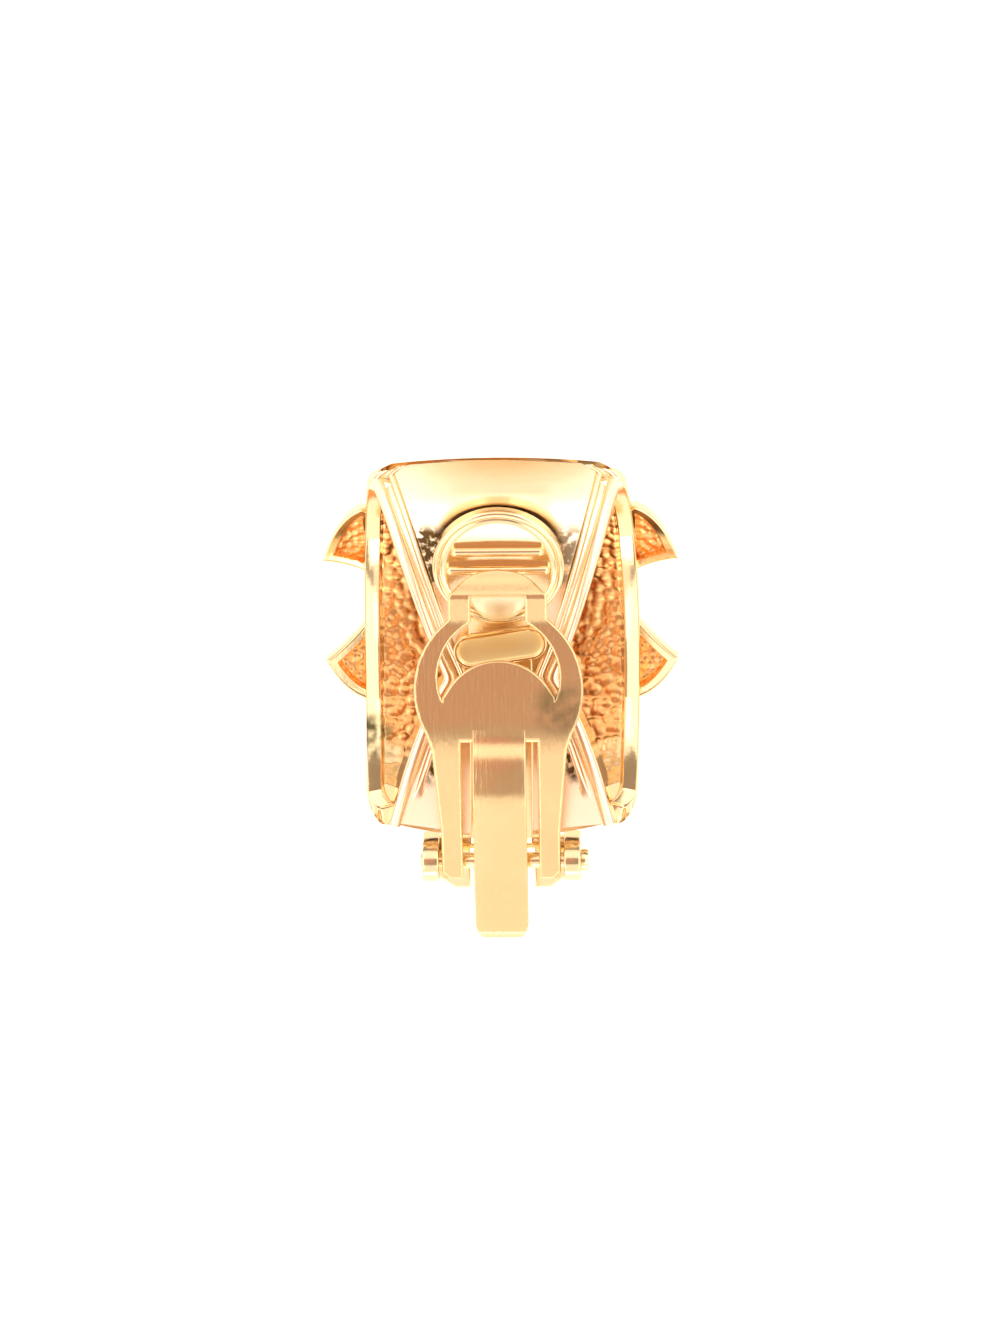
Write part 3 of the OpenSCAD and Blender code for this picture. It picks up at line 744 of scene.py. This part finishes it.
side_y = np.concatenate([np.linspace(HEAD_START, -1.9, 50), np.linspace(-1.9, HORN[1], 16)[1:]])
island_top = ISLAND_Y + ISLAND_R
island_y = island_top - (island_top - HORN[1]) * np.sin(np.linspace(0, 1, 40) * np.pi / 2) ** 2
low_y = np.linspace(HORN[1], BEND_Y, 20)
lip_y = LIP_Y + LIP_R - LIP_DEPTH * np.cos(np.linspace(0, 1, 20) * np.pi / 2)
lip_y = np.concatenate([[HEAD_START], lip_y])
leg_y = np.concatenate([np.linspace(BEND_Y, -14.1, 44),
                        [-14.15, -14.3, -14.45, -14.55, -14.62, LEG_END]])
middle = HORN[0] + (SLOT_OUT - HORN[0]) * (low_y - HORN[1]) / (BEND_Y - HORN[1])
neck = NECK_HALF * paddle_outer(lip_y) / HEAD_HALF
bands = [
    band(side_y, to_horn(side_y, hole_edge(side_y)), paddle_outer(side_y), BOTH_EDGES),
    band(island_y, 0, to_horn(island_y, round_side(island_y, ISLAND_Y, ISLAND_R)), ONE_EDGE),
    band(lip_y, 0, neck, EVEN),
    band(lip_y, neck, paddle_outer(lip_y), BOTH_EDGES),
    band(low_y, 0, middle, ONE_EDGE),
    band(low_y, middle, paddle_outer(low_y), BOTH_EDGES),
    band(leg_y, SLOT_OUT, paddle_outer(leg_y), BOTH_EDGES),
]
print("paddle bands:", len(bands), "on each side")

# %% [markdown]
# The flat bands and their mirror images are merged into one sheet, which is then bent by a side
# profile. Every point is given twice, on the upper and on the under face, and walls close the
# cut edges. Both faces draw together near a cut edge by a quarter circle, as tumbling leaves it.

# %% Paddle sheet
PADDLE_EASE = 0.11
plate_side = smooth_path([[-15.65, -2.1], [BEND_Y, -2.05], [1.85, -3.8], [FOLD_Y, -3.8],
                          [4.35, -4.5], [5.75, -5.2]], [1.3, 0.3, 0.3, 0.3], 12)
plate_side = plate_side[np.r_[True, np.diff(plate_side[:, 0]) > 1e-9]]


def flat_sheet(grids):
    """Merges flat bands and their mirror images: points that round to the same place become one."""
    points, faces, start = [], [], 0
    for grid in grids:
        rows, cols = grid.shape[:2]
        for side in (1, -1):
            points.append((grid * [side, 1]).reshape(-1, 2))
            quads = grid_faces(rows, cols, False, start)
            faces.append(quads[:, ::side])
            start += rows * cols
    points, faces = np.concatenate(points), np.concatenate(faces)
    _, first, same = np.unique(np.round(points, 4), axis=0, return_index=True, return_inverse=True)
    points, faces = points[first], same.ravel()[faces]
    x, y = points[faces, 0], points[faces, 1]
    area = (x * np.roll(y, -1, 1) - y * np.roll(x, -1, 1)).sum(1)
    faces = faces[np.abs(area) > 1e-7]
    area = area[np.abs(area) > 1e-7]
    return points, np.where(area[:, None] > 0, faces, faces[:, ::-1])


def stamped(grids, side_line, thickness, soft):
    """A merged flat sheet bent by a side profile, with both faces eased off near every cut edge."""
    flat, faces = flat_sheet(grids)
    edges = np.stack([faces, np.roll(faces, -1, 1)], -1).reshape(-1, 2)
    edges = edges[edges[:, 0] != edges[:, 1]]
    _, at, count = np.unique(np.sort(edges, 1), axis=0, return_index=True, return_counts=True)
    rim = edges[at[count == 1]]
    a, d = flat[rim[:, 0]], flat[rim[:, 1]] - flat[rim[:, 0]]
    gap = flat[:, None] - a
    s = np.clip((gap * d).sum(-1) / (d * d).sum(-1), 0, 1)
    inset = np.sqrt(((gap - s[..., None] * d) ** 2).sum(-1)).min(-1)
    ease = soft * (1 - np.sqrt(1 - np.clip(1 - inset / soft, 0, 1) ** 2))
    z = np.interp(flat[:, 1], side_line[:, 0], side_line[:, 1])
    slope = np.interp(flat[:, 1], side_line[:, 0], np.gradient(side_line[:, 1], side_line[:, 0]))
    normal = np.stack([-slope, np.ones_like(slope)], -1) / np.sqrt(1 + slope**2)[:, None]
    face = np.column_stack([flat, z])
    down = np.column_stack([0 * z, normal])
    top, under = face - down * ease[:, None], face - down * (thickness - ease)[:, None]
    n = len(flat)
    walls = np.column_stack([rim[:, 1], rim[:, 0], rim[:, 0] + n, rim[:, 1] + n])
    return np.concatenate([top, under]), np.concatenate([faces, faces[:, ::-1] + n, walls])


paddle_sheet = stamped(bands, plate_side, SHEET, PADDLE_EASE)
print("paddle sheet:", len(paddle_sheet[0]), "points")

# %% [markdown]
# The spring tongue rises over the plate, runs out past the hinge and curls under at its tail. It
# and the two bored lugs under the legs join the stamped sheet as one piece, because on the real
# clip they are the same sheet.

# %% Spring tongue and lugs
TAIL = np.array([-18.0, -1.78])
CURL_R = 0.75
TAIL_NARROW = 0.8
LUG_R = 0.85
rise = smooth_path([[BEND_Y + 0.8, -2.24], [BEND_Y, -2.09], [-6.45, -1.45], [-9.0, -0.9], TAIL],
                   0.7, 12)
tongue_side = np.concatenate([rise[:-1], np.linspace(TAIL + [0.9, 0.07], TAIL, 12),
                              arc_points(TAIL - [0, CURL_R], CURL_R, 92, 245, 26)])
past = np.maximum.accumulate(np.clip((-17.4 - tongue_side[:, 0]) / 1.35, 0, 1))
tongue = strip(tongue_side, SLOT_IN, SHEET - 0.06,
               narrow=TAIL_NARROW * (1 - np.sqrt(1 - past**2)))
lug_outline = np.concatenate([
    arc_points(HINGE, LUG_R, 180, 360, 25),
    [[HINGE[0] + LUG_R, -2.3], [HINGE[0] - LUG_R, -2.3]],
])
lugs = [plate_between(lug_outline, *ends, "x", soft=0.06) for ends in ((3.2, 3.75), (-3.75, -3.2))]
paddle = make_piece("paddle", [(grid, True, True) for grid in (tongue, *lugs)], body="clip",
                    sharp=50, sheet=paddle_sheet)
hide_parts("clip_paddle")

# %% [markdown]
# A material is a net of nodes. A short helper adds one node by its kind, sets its options and
# fills its inputs, each with a fixed value or with what another node gives. Written like this, a
# material reads from top to bottom as a recipe.

# %% Nodes by name


def node_adder(material):
    """A function that adds nodes to a material and links inputs given as other nodes' outputs."""
    nodes, links = material.node_tree.nodes, material.node_tree.links

    def add(kind, inputs, **options):
        node = nodes.new("ShaderNode" + kind)
        for option, value in options.items():
            setattr(node, option, value)
        for socket, value in inputs.items():
            if isinstance(value, bpy.types.NodeSocket):
                links.new(value, node.inputs[socket])
            else:
                node.inputs[socket].default_value = value
        return node

    return add


# %% [markdown]
# Gold plating is a metal whose colour comes from its reflections. Polished, it is almost a mirror;
# in the pebbled places light bounces from bead to bead and turns orange. One recipe serves all the
# finishes. The relief attribute that the meshes carry marks where a second tint comes in, and each
# such tint is painted light or shade: that orange of the bounces in the pebbles, a painted
# lightening of the plaque's shaded floor, and on the strap brown specks of painted dark reflection.

# %% Metal
CLOUD_SCALE, BLOTCH_SPECK_SCALE, SPECK_SCALE = 260.0, 900.0, 2100.0
DULLING = 0.14
DENT_DEPTH = 0.00005


def metal(name, tint, deep, rough, grain, bump, streak=1.0, marked=None, specks=False, spot=None):
    """Metal whose colour drifts between two tints, with a soft change of gloss and fine grain.

    marked is the tint of painted light or shade where the relief attribute is 1, broken into specks
    if asked. spot is a blotch of painted dark reflection given as centre, radius and tint. streak
    below 1 stretches the grain along y.
    """
    material = bpy.data.materials.new(name)
    material.use_nodes = True
    add = node_adder(material)
    where = add("TexCoord", {}).outputs["Object"]

    def noise(scale, detail=2.0, at=where):
        """Cloudy values between 0 and 1, finer for a larger scale."""
        return add("TexNoise", {"Vector": at, "Scale": scale, "Detail": detail}).outputs["Fac"]

    def tinted(share, colour, other):
        """A colour mixed with another by a share between 0 and 1."""
        return add("Mix", {0: share, 6: colour, 7: (*other, 1)}, data_type="RGBA").outputs[2]

    def speckled(share, scale, low, high):
        """A share kept only where a fine noise passes from low to high."""
        cut = add("MapRange", {"Value": noise(scale), "From Min": low, "From Max": high})
        return add("Math", {0: share, 1: cut.outputs["Result"]}, operation="MULTIPLY").outputs[0]

    cloud = noise(CLOUD_SCALE, 3.0)
    colour = tinted(cloud, (*tint, 1), deep)
    gloss = add("MapRange", {"Value": cloud, "To Min": rough[0], "To Max": rough[1]}).outputs[0]
    if marked:
        share = add("Attribute", {}, attribute_name="relief").outputs["Fac"]
        if specks:
            share = speckled(share, SPECK_SCALE, 0.36, 0.54)
        colour = tinted(share, colour, marked)
        gloss = add("Math", {0: share, 1: DULLING, 2: gloss}, operation="MULTIPLY_ADD").outputs[0]
    # A blotch of painted dark reflection, speckled by a fine noise.
    if spot:
        centre, reach, blotch_tint = spot
        gap = add("VectorMath", {0: where, 1: centre}, operation="DISTANCE").outputs["Value"]
        near = add("MapRange", {"Value": gap, "From Min": reach, "From Max": reach * 0.3},
                   interpolation_type="SMOOTHSTEP").outputs["Result"]
        colour = tinted(speckled(near, BLOTCH_SPECK_SCALE, 0.3, 0.62), colour, blotch_tint)
    along = add("Mapping", {"Vector": where, "Scale": (1.0, streak, 1.0)}).outputs["Vector"]
    dent = add("Bump", {"Height": noise(grain, 4.0, along), "Strength": bump,
                        "Distance": DENT_DEPTH}).outputs["Normal"]
    shader = material.node_tree.nodes["Principled BSDF"]
    shader.inputs["Metallic"].default_value = 1.0
    for socket, value in (("Base Color", colour), ("Roughness", gloss), ("Normal", dent)):
        material.node_tree.links.new(value, shader.inputs[socket])
    return material


# %% [markdown]
# The finishes differ in tint and gloss. The casting is the yellowest, the strap the palest, and
# the paddle is a rosier sheet with fine lines of rolling. Two dark blotches of painted reflection,
# one on the paddle's plate and one low on the casting's left side, are given by their place.

# %% Gold finishes
# Orange painted into the pebbles: painted light of the bounces from bead to bead.
PEBBLE_BOUNCE_ORANGE = (0.95, 0.5, 0.19)
# Painted light: a paler tint that lightens the plaque's shaded floor.
PLAQUE_PAINTED_LIGHT = (1.0, 0.87, 0.46)
# Painted dark reflection on the strap, broken into brown specks.
PAINTED_DARK_SPECKS = (0.12, 0.065, 0.022)
# Blotch of painted dark reflection on the right of the paddle's round plate.
PLATE_REFLECTION_BLOTCH = (place([3.9, -3.3, -2.1]).tolist(), 0.0023, (0.45, 0.36, 0.17))
# Blotch of painted dark reflection low on the casting's left side.
SIDE_REFLECTION_BLOTCH = ([-0.0084, -0.0022, 0.0027], 0.0021, (0.1, 0.08, 0.03))
gilt_cast = metal("gilt_cast", (0.98, 0.76, 0.44), (0.96, 0.7, 0.37), (0.1, 0.2),
                  grain=3500, bump=0.1, marked=PEBBLE_BOUNCE_ORANGE, spot=SIDE_REFLECTION_BLOTCH)
gilt_strap = metal("gilt_strap", (0.99, 0.82, 0.6), (0.98, 0.77, 0.53), (0.2, 0.28),
                   grain=2600, bump=0.05, marked=PAINTED_DARK_SPECKS, specks=True)
gilt_sheet = metal("gilt_sheet", (0.98, 0.79, 0.48), (0.96, 0.73, 0.4), (0.12, 0.22),
                   grain=4200, bump=0.1, marked=PLAQUE_PAINTED_LIGHT)
rose_sheet = metal("rose_sheet", (1.0, 0.72, 0.37), (0.88, 0.56, 0.27), (0.2, 0.32),
                   grain=5200, bump=0.45, streak=0.12, spot=PLATE_REFLECTION_BLOTCH)
gilt_dome = metal("gilt_dome", (0.99, 0.9, 0.64), (0.98, 0.86, 0.57), (0.34, 0.42),
                  grain=2600, bump=0.05)
for piece, finish in ((cast_shell, gilt_cast), (front_cross, gilt_cast), (back_strap, gilt_strap),
                      (ear_pad, gilt_sheet), (clip_stem, gilt_sheet), (base_rivet, gilt_dome),
                      (hinge_pin, gilt_sheet), (paddle, rose_sheet)):
    piece.data.materials.clear()
    piece.data.materials.append(finish)
print("materials:", [m.name for m in bpy.data.materials])

# %% [markdown]
# The photograph was taken from straight above, on white, with soft light all round and a darker
# overhead where the camera stands. The camera is turned about its target by the angles that fit
# the photograph, and its lens is long, so the earring is seen almost without perspective.

# %% Camera
ELEVATION, YAW, ROLL = np.radians([91.0, 2.0, -0.4])
DISTANCE = 0.28
TARGET = np.array([0, 0.00107, 0.00783])
PIXELS_PER_METRE, LONG_SIDE = 15900, 1333
SENSOR = 36
away = np.array([np.sin(YAW), -np.cos(ELEVATION) * np.cos(YAW), np.sin(ELEVATION) * np.cos(YAW)])
upward = np.array([0, np.sin(ELEVATION), np.cos(ELEVATION)])
upward -= away * (upward @ away)
upward /= np.linalg.norm(upward)
right = np.cross(upward, away)
right, upward = (right * np.cos(ROLL) + upward * np.sin(ROLL),
                 upward * np.cos(ROLL) - right * np.sin(ROLL))
camera = bpy.data.objects.new("camera", bpy.data.cameras.new("camera"))
bpy.context.scene.collection.objects.link(camera)
camera.matrix_world = Matrix([[*row, p] for row, p in
                              zip(np.stack([right, upward, away], 1), TARGET + away * DISTANCE)]
                             + [[0, 0, 0, 1]])
camera.data.sensor_width = SENSOR
camera.data.lens = SENSOR * PIXELS_PER_METRE * DISTANCE / LONG_SIDE
camera.data.shift_x, camera.data.shift_y = 0.6 / LONG_SIDE, 17.5 / LONG_SIDE
camera.data.clip_start, camera.data.clip_end = 0.01, 10
bpy.context.scene.camera = camera
print("camera at", [round(v, 3) for v in camera.location], "lens", round(camera.data.lens, 1))

# %% [markdown]
# The floor is white paper, lit from below like a light table: a little light of its own makes it
# as bright as in the photograph. That light is warm, so where the gold shades the floor beside its
# low edges a peach rim shows: a painted glow in place of light bounced from the gold.

# %% Floor
FLOOR_HALF = 0.6
corners = [(x * FLOOR_HALF, y * FLOOR_HALF, 0) for x, y in ((-1, -1), (1, -1), (1, 1), (-1, 1))]
floor = bpy.data.objects.new("floor", bpy.data.meshes.new("floor"))
floor.data.from_pydata(corners, [], [(0, 1, 2, 3)])
bpy.context.scene.collection.objects.link(floor)
paper = bpy.data.materials.new("paper")
paper.use_nodes = True
for socket, value in (("Base Color", (0.42, 0.42, 0.42, 1)), ("Roughness", 0.6),
                      ("Emission Color", (1.0, 0.88, 0.8, 1)), ("Emission Strength", 0.9)):
    paper.node_tree.nodes["Principled BSDF"].inputs[socket].default_value = value
floor.data.materials.append(paper)
print("floor:", 2 * FLOOR_HALF, "m across")

# %% [markdown]
# Polished metal shows its surroundings, so the light is made of large panels: what matters is what
# the gold sees in them. The panels stand round the sides, and the world between them is a dim,
# warm tone that gives the gold its brown shades. A weak red panel overhead is what the round
# plate of the clip mirrors.

# %% Light


def panel(name, direction, distance, size, power, colour=(1, 1, 1)):
    """A rectangular light that looks at the earring from a direction."""
    light = bpy.data.lights.new(name, "AREA")
    light.shape = "RECTANGLE"
    light.size, light.size_y = size
    light.energy = power
    light.color = colour
    lamp = bpy.data.objects.new(name, light)
    toward = Vector(direction).normalized()
    lamp.location = toward * distance
    lamp.rotation_euler = toward.to_track_quat("Z", "Y").to_euler()
    bpy.context.scene.collection.objects.link(lamp)
    return lamp


panel("front_panel", (0, -0.9, 0.78), 0.4, (0.5, 0.38), 0.47)
panel("low_panel", (0, -1, 0.22), 0.4, (0.6, 0.13), 0.6)
panel("back_panel", (0, 0.64, 0.9), 0.4, (0.5, 0.34), 0.5)
panel("left_panel", (-1, 0, 0.85), 0.4, (0.75, 0.4), 1.3)
panel("right_panel", (1, 0, 0.85), 0.4, (0.75, 0.4), 1.3)
panel("overhead", (-0.22, 0, 1), 0.45, (0.22, 0.3), 0.052, (1.0, 0.13, 0.06))
world = bpy.data.worlds.new("studio")
bpy.context.scene.world = world
world.use_nodes = True
around = world.node_tree.nodes["Background"].inputs
around["Color"].default_value, around["Strength"].default_value = (0.97, 0.78, 0.67, 1), 0.4
bpy.context.scene.view_settings.view_transform = "Standard"
